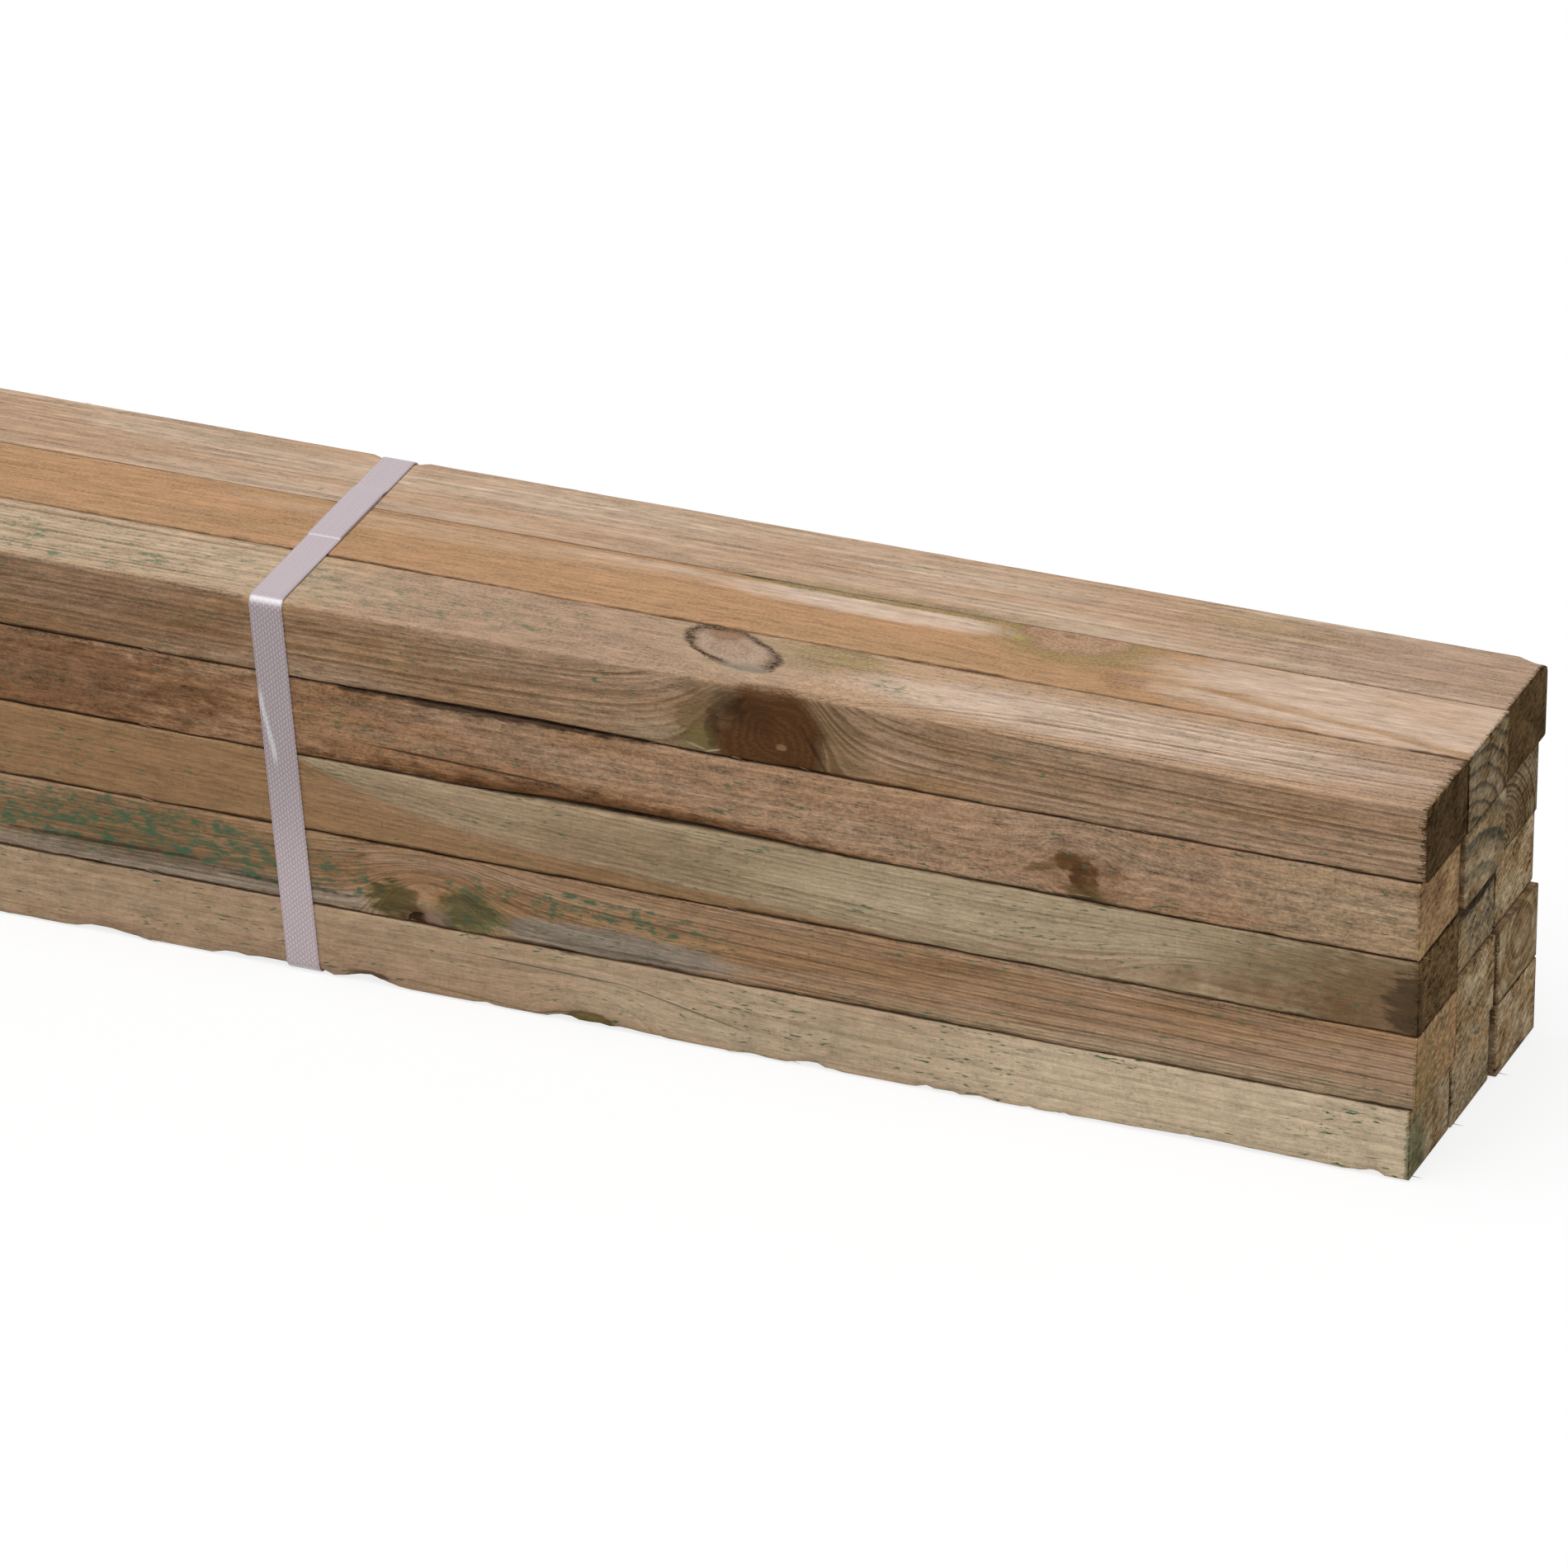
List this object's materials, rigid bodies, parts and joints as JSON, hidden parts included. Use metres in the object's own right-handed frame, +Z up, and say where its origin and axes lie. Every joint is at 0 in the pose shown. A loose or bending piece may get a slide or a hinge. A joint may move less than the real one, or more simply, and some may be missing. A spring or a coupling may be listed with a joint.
{
  "type": "bundle of pine studs",
  "caption": "Strapped bundle of rough-sawn, pressure-treated pine studs, stacked in columns and held by welded plastic straps.",
  "frame": {"origin": "on the floor under the middle of the bundle", "axes": "+X along the studs towards the end that the picture shows, +Y across the bundle from front to back, +Z up"},
  "size_m": [2.412, 0.1522, 0.1935],
  "materials": {
    "treated_pine": "rough-sawn, pressure-treated, greenish brown with knots and stains",
    "plastic_strap": "white embossed polypropylene, slightly glossy"
  },
  "bodies": {
    "root": {"stud_row1_front": "treated_pine", "stud_row2_front": "treated_pine", "stud_row3_front": "treated_pine", "stud_row4_front": "treated_pine", "stud_row5_front": "treated_pine", "stud_row1_middle": "treated_pine", "stud_row2_middle": "treated_pine", "stud_row3_middle": "treated_pine", "stud_row4_middle": "treated_pine", "stud_row5_middle": "treated_pine", "stud_row1_back": "treated_pine", "stud_row2_back": "treated_pine", "stud_row3_back": "treated_pine", "stud_row4_back": "treated_pine", "stud_row5_back": "treated_pine", "strap_near_end": "plastic_strap", "strap_far_end": "plastic_strap"}
  },
  "joints": []
}
